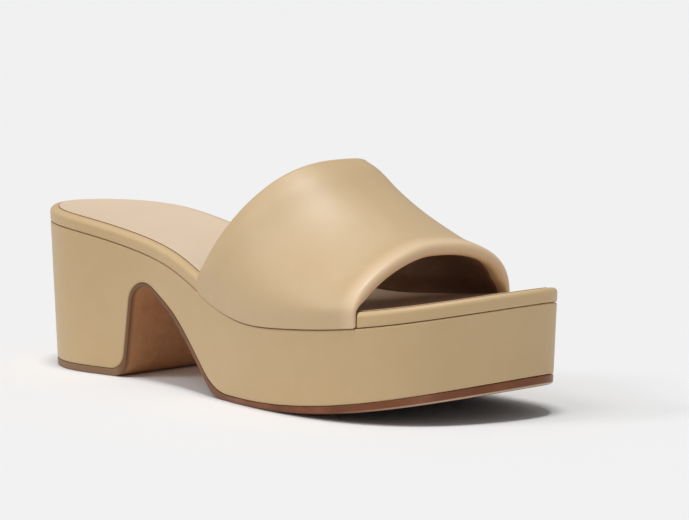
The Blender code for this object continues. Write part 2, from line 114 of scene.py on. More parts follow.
def curveAt(knots, values, slopes, places):
    span = np.clip(np.searchsorted(knots, places, side="right") - 1, 0, len(knots) - 2)
    step = (knots[span + 1] - knots[span])[:, None]
    t = (places - knots[span])[:, None] / step
    a, b = values[span], values[span + 1]
    m, n = slopes[span] * step, slopes[span + 1] * step
    point = (2 * t**3 - 3 * t**2 + 1) * a + (t**3 - 2 * t**2 + t) * m
    point += (3 * t**2 - 2 * t**3) * b + (t**3 - t**2) * n
    heading = (6 * t**2 - 6 * t) * (a - b) + (3 * t**2 - 4 * t + 1) * m + (3 * t**2 - 2 * t) * n
    return point, heading / step


def easeIn(x):
    x = np.clip(x, 0, 1)
    return x * x * (3 - 2 * x)


# Forms of the sole, as functions of x from the back of the heel

topKnots = np.array([row[0] for row in sole["topLine"]])
topValues = np.array([[row[1]] for row in sole["topLine"]])
topSlopes = slopesThrough(topKnots, topValues, False)


def toeRise(x):
    reach = sole["length"] - under["restEnd"]
    radius = (reach**2 + under["toeSpring"] ** 2) / (2 * under["toeSpring"])
    past = np.clip(x - under["restEnd"], 0, 0.9 * radius)
    return radius - np.sqrt(radius**2 - past**2)


def blockTop(x):
    x = np.atleast_1d(np.asarray(x, float))
    rise = curveAt(topKnots, topValues, topSlopes, x / sole["length"])[0][:, 0]
    return toeRise(x) + sole["platformHeight"] + (sole["heelHeight"] - sole["platformHeight"]) * rise


def footbedTop(x):
    return blockTop(x) + footbed["height"]


# The underside's line, heel to toe
under = {
    "heelBase": 63 * mm,
    "breastLean": 0.18,  # of the heel's front face, per unit of height
    "archHeight": 44 * mm,
    "waistAlong": 0.418,  # share of the way from the arch's top to the ball
    "waistRise": 0.671,  # share of the arch's height
    "ballStart": 126.2 * mm,
    "restEnd": 152 * mm,  # where the toe starts to rise
    "toeSpring": 12 * mm,
    "heelRound": 8 * mm,
    "blockHeelRound": 8.5 * mm,
    "archRound": 8 * mm,
    "waistRound": 70 * mm,
    "ballRound": 14 * mm,
    "blockBallRound": 27 * mm,
    "arcStep": math.radians(2),
    "overrun": 30 * mm,  # how far the line runs on behind the heel
    "toeOverrun": 12 * mm,  # and past the toe
    "toeSteps": 60,
    "fineSteps": 6000,
}


def underCorners():
    u = under
    breastTop = u["heelBase"] + u["breastLean"] * u["archHeight"]
    waist = breastTop + u["waistAlong"] * (u["ballStart"] - breastTop), u["waistRise"] * u["archHeight"]
    # x, z, round of the outsole, round of the block, outsole after the corner
    return [
        (-u["overrun"], 0, 0, 0, outsole["heel"]),
        (u["heelBase"], 0, u["heelRound"], u["blockHeelRound"], outsole["breast"]),
        (breastTop, u["archHeight"], u["archRound"], u["archRound"] + outsole["arch"], outsole["arch"]),
        (*waist, u["waistRound"], u["waistRound"] + outsole["shank"], outsole["shank"]),
        (u["ballStart"], 0, u["ballRound"], u["blockBallRound"], outsole["ball"]),
        (u["restEnd"], 0, 0, 0, outsole["ball"]),
    ]


def liftedCorners(extra):
    corners = underCorners()
    lines = []
    for start, end in zip(corners, corners[1:]):
        along = Vector((end[0] - start[0], end[1] - start[1])).normalized()
        lines.append((Vector(start[:2]) + Vector((-along.y, along.x)) * (start[4] + extra), along))
    moved = [(*lines[0][0], 0)]
    for (place, along), (other, heading), old in zip(lines, lines[1:], corners[1:]):
        cross = along.x * heading.y - along.y * heading.x
        step = other - place
        meet = place + along * ((step.x * heading.y - step.y * heading.x) / cross)
        moved.append((*meet, old[3] - extra if cross > 0 else old[3] + extra))
    moved.append((under["restEnd"], outsole["ball"] + extra, 0))
    return moved


def roundedPath(corners):
    points = [corners[0][:2]]
    for before, here, after in zip(corners, corners[1:], corners[2:]):
        place = Vector(here[:2])
        back = (Vector(before[:2]) - place).normalized()
        ahead = (Vector(after[:2]) - place).normalized()
        half = back.angle(ahead) / 2
        centre = place + (back + ahead).normalized() * (here[2] / math.sin(half))
        tangent = here[2] / math.tan(half)
        start = place + back * tangent - centre
        sweep = start.angle_signed(place + ahead * tangent - centre)
        count = max(2, math.ceil(abs(sweep) / under["arcStep"]))
        base = math.atan2(start.y, start.x)
        for i in range(count + 1):
            turn = base - sweep * i / count
            points.append((centre.x + here[2] * math.cos(turn), centre.y + here[2] * math.sin(turn)))
    return points + [corners[-1][:2]]


def withToe(points, firstLift, lastLift):
    reach = np.linspace(under["restEnd"], sole["length"] + under["toeOverrun"], under["toeSteps"])[1:]
    lift = np.interp(reach, (under["restEnd"], sole["length"]), (firstLift, lastLift))
    return np.array(points + list(zip(reach, toeRise(reach) + lift)))


def coverPath(extra):
    return withToe(roundedPath(liftedCorners(extra)), outsole["ball"] + extra, outsole["toe"] + extra)


def heightOn(path):
    return lambda x: np.interp(x, path[:, 0], path[:, 1])


def steepness(path, x):  # length along the path for each unit of x
    fine = np.linspace(path[0, 0], path[-1, 0], under["fineSteps"])
    return np.interp(x, fine, np.hypot(1, np.gradient(np.interp(fine, path[:, 0], path[:, 1]), fine)))


def distanceTo(path, x, z):
    best = np.full(np.shape(x), np.inf)
    for (x0, z0), (x1, z1) in zip(path, path[1:]):
        run, rise = x1 - x0, z1 - z0
        share = np.clip(((x - x0) * run + (z - z0) * rise) / (run * run + rise * rise), 0, 1)
        best = np.minimum(best, np.hypot(x - x0 - share * run, z - z0 - share * rise))
    return best


def turnedIn(distance, radius):  # how far a rounded edge lies inside its sharp one
    short = np.clip(1 - distance / radius, 0, 1)
    return radius * (1 - np.sqrt(1 - short**2))


def overEdge(top, radius, angles):  # height and inset of each row over a rounded top edge
    return [(top - radius * (1 - math.sin(turn)), radius * (1 - math.cos(turn))) for turn in angles]


# The outline's two sides, and the ring of points that the sole's pieces share

class Side:
    def __init__(self, point, normal):
        self.point, self.normal = point, normal
        self.arc = np.concatenate([[0], np.cumsum(np.linalg.norm(np.diff(point, axis=0), axis=1))])

    def arcAt(self, x):
        return np.interp(x, np.maximum.accumulate(self.point[:, 0]), self.arc)

    def at(self, arc):
        return [
            np.column_stack([np.interp(arc, self.arc, column[:, i]) for i in (0, 1)])
            for column in (self.point, self.normal)
        ]


def outlineSides():
    count = sole["outlineSteps"]
    values = np.array(sole["outline"]) * (sole["length"], sole["ballWidth"])
    values = np.vstack([values, values[:1]])
    knots = np.concatenate([[0], np.cumsum(np.linalg.norm(np.diff(values, axis=0), axis=1) ** 0.5)])
    slopes = slopesThrough(knots, values, True)
    point, heading = curveAt(knots, values, slopes, np.linspace(0, knots[-1], count, endpoint=False))
    normal = np.column_stack([heading[:, 1], -heading[:, 0]])
    normal /= np.linalg.norm(normal, axis=1)[:, None]
    back, tip = int(point[:, 0].argmin()), int(point[:, 0].argmax())
    outer = np.arange(back, back + (tip - back) % count + 1) % count
    inner = np.arange(tip, tip + (back - tip) % count + 1)[::-1] % count
    return Side(point[outer], normal[outer]), Side(point[inner], normal[inner])


def stationsAlong():
    # x of the columns between the two ends: close together on the breast and beside the strap
    start, end = sole["heelRun"], sole["length"] - sole["toeRun"]
    x = [np.linspace(start, end, round((end - start) / sole["step"]) + 1)]
    path = coverPath(0)
    path = path[(path[:, 0] > start) & (path[:, 0] < sole["archEnd"])]
    arc = np.concatenate([[0], np.cumsum(np.linalg.norm(np.diff(path, axis=0), axis=1))])
    x.append(np.interp(np.arange(0, arc[-1], sole["step"] / sole["archCrowding"]), arc, path[:, 0]))
    for back, front in strapSeat:
        for edge in (back, front):
            x.append(edge + np.array(footbed["recessColumns"]) * footbed["recessRun"])
    x = np.unique(np.concatenate(x))
    return x[np.concatenate([[True], np.diff(x) > sole["leastStep"]])]


def makePlan():
    middle = stationsAlong()
    found = []
    for side in sides:
        heel = np.linspace(0, side.arcAt(middle[0]), sole["heelSteps"])[:-1]
        toe = np.linspace(side.arcAt(middle[-1]), side.arc[-1], sole["toeSteps"])[1:]
        found.append(side.at(np.concatenate([heel, side.arcAt(middle), toe])))
    (outer, outerNormal), (inner, innerNormal) = found
    point = np.concatenate([outer, inner[-2:0:-1]])
    normal = np.concatenate([outerNormal, innerNormal[-2:0:-1]])
    return point, normal, len(outer)


def ringAt(height, inset=0.0):
    flat = planPoint
    for _ in range(4):
        level = height(flat[:, 0])
        flat = planPoint + planNormal * (sole["flare"] * level - inset)[:, None]
    return np.column_stack([flat, level])


def pushIn(ring, inset):
    return np.column_stack([ring[:, :2] - planNormal * inset[:, None], ring[:, 2]])


# Meshes

def placed(points):
    return np.asarray(points, float) - (sole["heelCentre"], 0, 0)


def makePiece(name, points, faces, finish, facts=None):
    mesh = bpy.data.meshes.new(name)
    mesh.from_pydata(placed(points).tolist(), [], [list(f) for f in faces])
    mesh.materials.append(finish)
    for label, values in (facts or {}).items():
        attribute = mesh.attributes.new(label, "FLOAT", "POINT")
        attribute.data.foreach_set("value", np.asarray(values, np.float32))
    bm = bmesh.new()
    bm.from_mesh(mesh)
    bmesh.ops.recalc_face_normals(bm, faces=bm.faces)
    bm.to_mesh(mesh)
    bm.free()
    mesh.shade_smooth()
    thing = bpy.data.objects.new(name, mesh)
    bpy.context.scene.collection.objects.link(thing)
    return thing


class Sheets:
    # points and faces of one piece, put together row by row
    def __init__(self):
        self.points, self.faces = [], []

    def add(self, points):
        start = sum(len(p) for p in self.points)
        self.points.append(np.asarray(points, float))
        return np.arange(start, start + len(points))

    def between(self, low, high, closed=True):
        after = np.roll(low, -1), np.roll(high, -1)
        quads = np.column_stack([low, after[0], after[1], high])
        self.faces += (quads if closed else quads[:-1]).tolist()

    def walls(self, rings):
        rows = [self.add(ring) for ring in rings]
        for low, high in zip(rows, rows[1:]):
            self.between(low, high)
        return rows

    def across(self, row, ring, height, steps, dish=0.0):
        # covers a ring with rungs from its outer side to its inner one
        last = sideCount - 1
        share = np.linspace(0, 1, steps + 1)[1:-1]
        rungs = []
        for i in range(1, last):
            j = len(ring) - i
            spots = ring[i, None, :] + (ring[j] - ring[i])[None, :] * share[:, None]
            sag = dish * easeIn(np.linalg.norm(ring[j] - ring[i]) / footbed["dishRun"])
            spots[:, 2] = height(spots[:, 0]) - sag * 4 * share * (1 - share)
            rungs.append(np.concatenate([[row[i]], self.add(spots), [row[j]]]))
        for low, high in zip(rungs, rungs[1:]):
            self.between(low, high, closed=False)
        for tip, rung in ((row[0], rungs[0]), (row[last], rungs[-1])):
            self.faces += [[tip, a, b] for a, b in zip(rung, rung[1:])]

    def all(self):
        return np.concatenate(self.points)


block = {
    "seamRound": 0.6 * mm,  # leather turned over the top edge
    "edgeRound": 0.75 * mm,  # and down to the outsole
    "glue": 0.07 * mm,
    "edgeRows": (0, 0.12 * mm, 0.3 * mm, 0.5 * mm, 0.8 * mm, 1.3 * mm),
    "wallRows": 9,
}


def blockPiece(finish):
    path = coverPath(block["glue"])
    bottom = heightOn(path)
    rows = []
    heights = [lambda x, d=d: bottom(x) + d * steepness(path, x) for d in block["edgeRows"]]
    foot, head = heights[-1], lambda x: blockTop(x) - block["edgeRows"][-1]
    for share in np.linspace(0, 1, block["wallRows"] + 2)[1:-1]:
        heights.append(lambda x, s=share: foot(x) + (head(x) - foot(x)) * s)
    heights += [lambda x, d=d: blockTop(x) - d for d in block["edgeRows"][::-1]]
    for height in heights:
        ring = ringAt(height)
        toUnder = distanceTo(path, ring[:, 0], ring[:, 2])
        toTop = blockTop(ring[:, 0]) - ring[:, 2]
        inset = turnedIn(toUnder, block["edgeRound"]) + turnedIn(toTop, block["seamRound"])
        rows.append(pushIn(ring, inset))
    sheets = Sheets()
    made = sheets.walls(rows)
    sheets.across(made[0], rows[0], bottom, 1)
    sheets.across(made[-1], rows[-1], blockTop, 1)
    return makePiece("platformAndHeel", sheets.all(), sheets.faces, finish)


# Outsole, the same sheet all the way
outsole = {
    "heel": 3 * mm,
    "breast": 1.7 * mm,
    "arch": 1.7 * mm,
    "shank": 2.2 * mm,
    "ball": 2.4 * mm,
    "toe": 3.8 * mm,
    "edgeRound": 0.45 * mm,
    "bevel": 0.8 * mm,  # pale bevel under the forefoot's edge
    "rows": (0, 0.05, 0.11, 0.19, 0.3, 0.45, 0.6, 0.75, 0.87, 0.94, 1),
    "bevelRun": 40 * mm,  # how far the bevel takes to come in
    "across": 14,
}


def outsolePiece(finish):
    low, high = heightOn(floorPath), heightOn(coverPath(0))
    rows, facts = [], []
    for share in outsole["rows"]:
        ring = ringAt(lambda x: low(x) + (high(x) - low(x)) * share)
        toFloor = distanceTo(floorPath, ring[:, 0], ring[:, 2])
        toBlock = distanceTo(coverPath(0), ring[:, 0], ring[:, 2])
        inset = turnedIn(toFloor, outsole["edgeRound"]) + turnedIn(toBlock, outsole["edgeRound"] / 2)
        # the forefoot's lower edge is bevelled
        bevel = easeIn((ring[:, 0] - under["ballStart"]) / outsole["bevelRun"]) * outsole["bevel"]
        inset = np.maximum(inset, np.clip(bevel - toFloor, 0, None))
        rows.append(pushIn(ring, inset))
        facts.append(toFloor)
    sheets = Sheets()
    made = sheets.walls(rows)
    sheets.across(made[0], rows[0], low, outsole["across"])
    sheets.across(made[-1], rows[-1], high, outsole["across"])
    points = sheets.all()
    edge = np.full(len(points), -1.0)
    edge[: sum(len(f) for f in facts)] = np.concatenate(facts) / mm
    return makePiece("outsoleSheet", points, sheets.faces, finish, {"overFloorEdge": edge})


footbed = {
    "height": 6.1 * mm,  # top of the footbed over the block
    "seam": 0.32 * mm,
    "turnUnder": 0.6 * mm,
    "edgeRound": 2.4 * mm,
    "dish": 0.8 * mm,
    "dishRun": 45 * mm,  # width from which the dish is full
    "across": 26,
    "recess": 1.5 * mm,  # where the strap comes down over it
    "recessRun": 0.7 * mm,
    "recessColumns": (-1.2, -0.8, -0.4, 0, 0.4, 0.8, 1.2),  # in runs, round each end of the recess
    "turnRows": [(0, 1), (0.1, 0.55), (0.35, 0.2), (1, 0), (2, 0)],  # in turns: how far up and in
    "edgeRows": 11,
}


def seatShare():
    # 1 where the strap comes down over the footbed's edge, 0 elsewhere
    share = np.zeros(len(planPoint))
    run = footbed["recessRun"]
    for inner, (back, front) in zip((False, True), strapSeat):
        x = planPoint[:, 0]
        inside = easeIn((x - back + run) / run) * easeIn((front + run - x) / run)
        share = np.where(isInner == inner, inside, share)
    return share


def footbedPiece(finish):
    recess = seatShare() * footbed["recess"]
    high, seam, turn = footbed["height"], footbed["seam"], footbed["turnUnder"]
    levels = [(seam + up * turn, inwards * turn) for up, inwards in footbed["turnRows"]]
    levels += overEdge(high, footbed["edgeRound"], np.linspace(0, math.pi / 2, footbed["edgeRows"]))
    rings = [ringAt(lambda x: blockTop(x) + lift, recess + inset) for lift, inset in levels]
    sheets = Sheets()
    made = sheets.walls(rings)
    sheets.across(made[0], rings[0], lambda x: blockTop(x) + seam, 1)
    sheets.across(made[-1], rings[-1], footbedTop, footbed["across"], footbed["dish"])
    return makePiece("footbedBoard", sheets.all(), sheets.faces, finish)


sock = {
    "margin": 4 * mm,
    "lift": 0.05 * mm,
    "thick": 0.32 * mm,
    "edgeRound": 0.2 * mm,
    "edgeFrom": 0.4,  # radians up the rounded edge to its first row
    "edgeRows": 4,
    "lineRadius": 0.14 * mm,
    "lineStep": 0.8 * mm,
}


def sockPiece(finish):
    base, top = footbed["height"] + sock["lift"], footbed["height"] + sock["lift"] + sock["thick"]
    levels = [(base, 0), (top - sock["edgeRound"], 0)]
    angles = np.linspace(sock["edgeFrom"], math.pi / 2, sock["edgeRows"])
    levels += overEdge(top, sock["edgeRound"], angles)
    rings = [ringAt(lambda x: blockTop(x) + lift, sock["margin"] + inset) for lift, inset in levels]
    sheets = Sheets()
    made = sheets.walls(rings)
    sheets.across(made[0], rings[0], lambda x: blockTop(x) + base, footbed["across"], footbed["dish"])
    sheets.across(made[-1], rings[-1], lambda x: blockTop(x) + top, footbed["across"], footbed["dish"])
    return makePiece("sockLining", sheets.all(), sheets.faces, finish)


# The strap

strap = {
    "rise": 55 * mm,  # footbed to the strap's top at its back edge
    "wall": 4.8 * mm,
    "pared": 2 * mm,  # wall beside the footbed
    "paredBlend": 9 * mm,
    "proud": 0.8 * mm,
    # rows up the foot of each side, in mm: height over the seam, how far the leather turns in
    "foot": [
        (0.26, 0.6), (0.42, 0.28), (0.75, 0.08), (1.2, 0), (2.2, 0), (3.5, 0), (4.8, 0), (6.1, 0),
    ],
    "lengthSteps": 96,
    "sideSteps": 84,
    "arcPoints": 500,
    "footCrowding": 1.15,  # over 1 sets the steps closer together near the foot
    "rollSteps": 14,
    "paintedRimLightRun": 7 * mm,  # how far the painted light on the front rim reaches
    # swelling along the back edge and the front edge, and the valley behind it: height, place, spread
    "backSwell": [(-0.6 * mm, 0, 5 * mm), (0.9 * mm, 9 * mm, 9 * mm)],
    "frontSwell": [(0.65 * mm, 3.8 * mm, 4.5 * mm), (-0.15 * mm, 13 * mm, 7 * mm)],
    "softRounds": 14,
    "softShare": 0.5,
    "softFrom": 3,  # rows up from the seam
    "softOver": 8,
    # back edge to front edge: where each side stands, the top's place along, across and up,
    # how full each side is, and how far its top is carried forward
    "sections": [
        (0.474, 0.476, 0.621, 0.105, 1.016, 0.72, 0.50, 1.15, 1.65),
        (0.567, 0.571, 0.678, 0.085, 0.834, 0.87, 0.54, 1.65, 1.85),
        (0.661, 0.666, 0.735, 0.058, 0.665, 1.03, 0.64, 2.15, 2.05),
        (0.754, 0.760, 0.792, 0.027, 0.517, 1.16, 0.70, 2.60, 2.25),
        (0.847, 0.854, 0.849, -0.004, 0.383, 1.28, 0.76, 2.95, 2.45),
    ],
}


def evenly(points, places):
    arc = np.concatenate([[0], np.cumsum(np.linalg.norm(np.diff(points, axis=0), axis=1))])
    return np.column_stack([np.interp(places * arc[-1], arc, points[:, i]) for i in range(points.shape[1])])


def strapSurface(shares):
    # outside of the strap, one row for each share of the way from its back edge to its front
    table = np.array(strap["sections"])
    index = np.linspace(0, 1, len(table))
    rows = curveAt(index, table, slopesThrough(index, table, False), shares)[0]
    footLifts, turned = np.array(strap["foot"]).T * mm
    surface = []
    for row in rows:
        crownX = row[2] * sole["length"]
        crownZ = footbedTop(crownX)[0] + row[4] * strap["rise"]
        crown = np.array([crownX, row[3] * sole["ballWidth"], crownZ])
        halves = []
        for side, along, full, sweep in zip(sides, row[0:2], row[5:7], row[7:9]):
            x = along * sole["length"]
            point, normal = (column[0] for column in side.at(side.arcAt(np.array([x]))))
            high = blockTop(x)[0] + footLifts
            out = sole["flare"] * high + strap["proud"] - turned
            foot = np.column_stack([point + normal * out[:, None], high])
            turn = np.linspace(0, 1, strap["arcPoints"]) ** 2 * math.pi / 2
            rise, cross = np.sin(turn) ** full, 1 - np.clip(np.cos(turn), 0, None) ** full
            arch = foot[-1] + (crown - foot[-1]) * np.column_stack([rise**sweep, cross, rise])
            arch = evenly(arch, np.linspace(0, 1, strap["sideSteps"] + 1) ** strap["footCrowding"])
            halves.append(np.concatenate([foot, arch[1:]]))
        surface.append(np.concatenate([halves[0], halves[1][-2::-1]]))
    return np.array(surface)


def outwards(surface):
    normal = np.cross(np.gradient(surface, axis=1), np.gradient(surface, axis=0))
    normal /= np.linalg.norm(normal, axis=2)[:, :, None]
    return normal if (normal * (surface - surface.mean(axis=(0, 1)))).sum() > 0 else -normal


def softened(surface, rounds, keep):
    # evens out the strap across its width, but leaves its feet where they stand
    for _ in range(rounds):
        middle = (surface[:, :-2] + surface[:, 2:]) / 2
        surface[:, 1:-1] += (middle - surface[:, 1:-1]) * keep[None, 1:-1, None]
    return surface


def strapForm():
    surface = strapSurface(np.linspace(0, 1, strap["lengthSteps"] + 1))
    count = surface.shape[1]
    fromFoot = np.minimum(np.arange(count), np.arange(count)[::-1]) - strap["softFrom"]
    keep = strap["softShare"] * easeIn(fromFoot / strap["softOver"])
    surface = softened(surface, strap["softRounds"], keep)
    base = footbedTop(surface[:, :, 0].ravel()).reshape(surface.shape[:2])
    grown = easeIn((surface[:, :, 2] - base) / strap["paredBlend"])
    step = np.linalg.norm(np.diff(surface, axis=0), axis=2)
    fromBack = np.concatenate([np.zeros((1, count)), np.cumsum(step, axis=0)])
    swell = np.zeros(fromBack.shape)
    for distance, label in ((fromBack, "backSwell"), (fromBack[-1] - fromBack, "frontSwell")):
        for high, place, spread in strap[label]:
            swell += high * np.exp(-(((distance - place) / spread) ** 2))
    wall = strap["pared"] + (strap["wall"] - strap["pared"]) * grown
    return np.concatenate(
        [surface, outwards(surface), np.stack([wall, swell * grown, fromBack], axis=2)], axis=2
    )


def alongLine(line, start, end, count):
    # one line of the strap from back to front, cut to the stretch between two distances
    places = np.linspace(start, end, count)
    row = np.column_stack([np.interp(places, line[:, 8], line[:, i]) for i in range(line.shape[1])])
    row[:, 3:6] /= np.linalg.norm(row[:, 3:6], axis=1)[:, None]
    return row


def strapPiece(finish):
    form = strapForm()
    count, roll = strap["lengthSteps"] + 1, strap["rollSteps"]
    loops, paintedRimLight = [], []
    for line in np.swapaxes(form, 0, 1):
        radii = [(line[i, 6] + line[i, 7]) / 2 for i in (0, -1)]
        length = line[-1, 8]
        row = alongLine(line, radii[0], length - radii[1], count)
        outside = row[:, :3] + row[:, 3:6] * row[:, 7:8]
        inside = row[:, :3] - row[:, 3:6] * row[:, 6:7]
        rolls = []
        for end, beside in ((-1, -2), (0, 1)):
            heading = row[end, :3] - row[beside, :3]
            heading -= row[end, 3:6] * heading.dot(row[end, 3:6])
            middle, half = (outside[end] + inside[end]) / 2, (outside[end] - inside[end]) / 2
            heading *= np.linalg.norm(half) / np.linalg.norm(heading)
            turns = np.linspace(0, math.pi, roll + 2)[1:-1, None]
            rolls.append(middle + half * np.cos(turns) + heading * np.sin(turns))
        loops.append(np.concatenate([outside, rolls[0], inside[::-1], rolls[1][::-1]]))
        # painted light: full on the front roll, fading back from the front edge, none on the back roll
        fromFront = 1 - easeIn((length - radii[1] - row[:, 8]) / strap["paintedRimLightRun"])
        front, back = np.ones(roll), np.zeros(roll)
        paintedRimLight.append(np.concatenate([fromFront, front, fromFront[::-1], back]))
    sheets = Sheets()
    rows = [sheets.add(loop) for loop in loops]
    for low, high in zip(rows, rows[1:]):
        sheets.between(low, high)
    for cap in (rows[0], rows[-1]):
        outer, inner = cap[:count], cap[count + roll : 2 * count + roll][::-1]
        sheets.between(outer, inner, closed=False)
        sheets.faces.append([*cap[count - 1 : count + roll + 1]])
        sheets.faces.append([*cap[2 * count + roll - 1 :], cap[0]])
    facts = {"paintedRimLightShare": np.concatenate(paintedRimLight)}
    return makePiece("paddedStrap", sheets.all(), sheets.faces, finish, facts)


lining = {
    "gap": 0.12 * mm,
    "thick": 0.8 * mm,
    "margin": 5.5 * mm,
    "lift": 1.1 * mm,
}


def liningPiece(finish):
    form = strapForm()
    foot = len(strap["foot"]) - 1
    last = form.shape[1] - 1 - foot
    for edge, above in ((foot, foot + 1), (last, last - 1)):
        share = lining["lift"] / (form[:, above, 2:3] - form[:, edge, 2:3])
        form[:, edge] += (form[:, above] - form[:, edge]) * np.clip(share, 0, 0.9)
    sheets = Sheets()
    rows = []
    for line in np.swapaxes(form[:, foot : last + 1], 0, 1):
        row = alongLine(line, lining["margin"], line[-1, 8] - lining["margin"], strap["lengthSteps"])
        near = row[:, :3] - row[:, 3:6] * (row[:, 6:7] + lining["gap"])
        rows.append(sheets.add(np.concatenate([near, (near - row[:, 3:6] * lining["thick"])[::-1]])))
    for low, high in zip(rows, rows[1:]):
        sheets.between(low, high)
    for cap in (rows[0], rows[-1]):
        half = len(cap) // 2
        sheets.between(cap[:half], cap[half:][::-1], closed=False)
    return makePiece("strapLining", sheets.all(), sheets.faces, finish)


# Shader sums

class Link:
    # a socket that can be added, multiplied and so on
    def __init__(self, shades, socket):
        self.shades, self.socket = shades, socket

    def maths(self, operation, *terms):
        return self.shades.node("ShaderNodeMath", {"operation": operation}, dict(enumerate(terms)))

    def __add__(self, other):
        return self.maths("ADD", self, other)

    def __sub__(self, other):
        return self.maths("SUBTRACT", self, other)

    def __rsub__(self, other):
        return self.maths("SUBTRACT", other, self)

    def __mul__(self, other):
        return self.maths("MULTIPLY", self, other)

    __radd__, __rmul__ = __add__, __mul__


class Shades:
    # one finish's node tree
    def __init__(self, name):
        self.finish = bpy.data.materials.new(name)
        self.finish.use_nodes = True
        self.tree = self.finish.node_tree
        self.shader = self.tree.nodes["Principled BSDF"]
        self.place = self.node("ShaderNodeTexCoord", {}, {}, "Object")

    def node(self, kind, settings, inputs, output=0):
        made = self.tree.nodes.new(kind)
        for label, value in settings.items():
            if label == "stops":
                for i, (spot, colour) in enumerate(value):
                    stop = made.color_ramp.elements[i] if i < 2 else made.color_ramp.elements.new(spot)
                    stop.position, stop.color = spot, (*colour, 1)
            else:
                setattr(made, label, value)
        for label, value in inputs.items():
            self.feed(made.inputs[label], value)
        return Link(self, made.outputs[output])

    def feed(self, socket, value):
        if isinstance(value, Link):
            self.tree.links.new(value.socket, socket)
        elif isinstance(value, tuple) and len(value) == 3 and socket.type == "RGBA":
            socket.default_value = (*value, 1)
        else:
            socket.default_value = value

    def set(self, inputs):
        for label, value in inputs.items():
            self.feed(self.shader.inputs[label], value)
        return self.finish

    def noise(self, scale, detail=2.0, rough=0.5, place=None):
        inputs = {"Vector": place or self.place, "Scale": scale, "Detail": detail, "Roughness": rough}
        return self.node("ShaderNodeTexNoise", {}, inputs, "Fac")

    def pores(self, scale, place=None):
        inputs = {"Vector": place or self.place, "Scale": scale, "Randomness": 1.0}
        return self.node("ShaderNodeTexVoronoi", {"feature": "DISTANCE_TO_EDGE"}, inputs, "Distance")

    def mix(self, share, low, high, blend="MIX"):
        settings = {"data_type": "RGBA", "blend_type": blend}
        return self.node("ShaderNodeMix", settings, {0: share, 6: low, 7: high}, 2)

    def ramp(self, value, low, high):
        inputs = {"Value": value, "From Min": low, "From Max": high}
        return self.node("ShaderNodeMapRange", {"clamp": True}, inputs, "Result")

    def along(self, axis):
        return self.node("ShaderNodeSeparateXYZ", {}, {0: self.place}, axis)

    def bump(self, height, strength, distance, normal=None):
        inputs = {"Height": height, "Strength": strength, "Distance": distance}
        if normal:
            inputs["Normal"] = normal
        return self.node("ShaderNodeBump", {}, inputs, "Normal")


leather = {
    "tan": (0.64, 0.455, 0.243),
    "tanDeep": (0.60, 0.420, 0.216),
    "tanPale": (0.70, 0.520, 0.320),
    "strap": (0.605, 0.428, 0.228),
    "sock": (0.75, 0.592, 0.436),
    "sockDeep": (0.71, 0.552, 0.402),
    "edge": (0.170, 0.052, 0.018),
    "edgeRed": (0.250, 0.080, 0.028),
    "taupe": (0.285, 0.165, 0.090),
    "breast": (0.50, 0.235, 0.100),
    "breastPale": (0.58, 0.29, 0.135),
    # painted shade: a near-black underside, so that it throws no light onto the floor below
    "bottom": (0.10, 0.050, 0.030),
    # painted glint: a paler tone for highlights on the glossy forefoot edge
    "paintedGlint": (0.40, 0.210, 0.130),
    # painted shade: a darker brown for the sock where the strap shades it
    "paintedSockShade": (0.50, 0.290, 0.165),
    "archEdge": (0.200, 0.100, 0.048),
    # painted light: a paler tone for the strap's front rim
    "paintedRimLight": (0.76, 0.55, 0.33),
    "pale": (0.58, 0.42, 0.29),
    # painted shade: a brown lining, made darker still for the shade inside the strap
    "lining": (0.135, 0.062, 0.028),
    "sockLine": (0.22, 0.115, 0.055),
    "paintedShadeStart": (0.105, 0.150),  # x over which painted shade comes in on the sock under the strap
    "paintedShadeFade": (0.174, 0.190),  # and over which the painted shade partly fades again in front of it
    "patch": 14.0,  # per metre, how close the soft changes of colour lie
    "grain": 1500.0,  # per metre, pores of the smooth leather
    "grainDepth": 0.08 * mm,
}


def smoothLeather(name, *tones, rough=0.44, grain=1.0, depth=1.0, shine=0.42, toe=None, paintedRimLight=None):
    # three tones: the usual one, a deeper and a paler one, and one for painted shade on the sock under the
    # strap and one for painted light on the strap's front rim if they differ
    s = Shades(name)
    base, deep, pale = (leather[tone] for tone in tones)
    broad = s.noise(leather["patch"], 3.0, 0.55)
    fine = s.noise(leather["patch"] * 9, 4.0, 0.6)
    colour = s.mix(s.ramp(broad, 0.3, 0.7), deep, base)
    colour = s.mix(s.ramp(fine, 0.5, 0.75) * 0.18, colour, pale)
    # painted shade: the sock is darkened under the strap and stays partly darker in front of it
    if toe:
        x = s.along("X")
        shaded = s.ramp(x, *leather["paintedShadeStart"]) * (1 - s.ramp(x, *leather["paintedShadeFade"]) * 0.6)
        colour = s.mix(shaded, colour, leather[toe])
    # painted light: the strap's front rim is made paler
    if paintedRimLight:
        paintedRimLightMask = s.node("ShaderNodeAttribute", {"attribute_name": "paintedRimLightShare"}, {}, "Fac")
        colour = s.mix(paintedRimLightMask, colour, leather[paintedRimLight])
    pore = s.ramp(s.pores(leather["grain"] * grain), 0.0, 0.12)
    colour = s.mix((1 - pore) * 0.10, colour, deep)
    creased = s.noise(leather["grain"] * grain * 0.35, 5.0, 0.65)
    height = pore * 0.6 + creased * 0.8
    soft = s.bump(s.noise(70.0, 3.0, 0.5), 0.25, 0.25 * mm)
    return s.set({
        "Base Color": colour,
        "Roughness": (rough - 0.05) + fine * 0.1 + (1 - pore) * 0.06,
        "Normal": s.bump(height, 0.35, leather["grainDepth"] * depth, soft),
        "Specular IOR Level": shine,
        "Sheen Weight": 0.06,
        "Sheen Roughness": 0.5,
    })


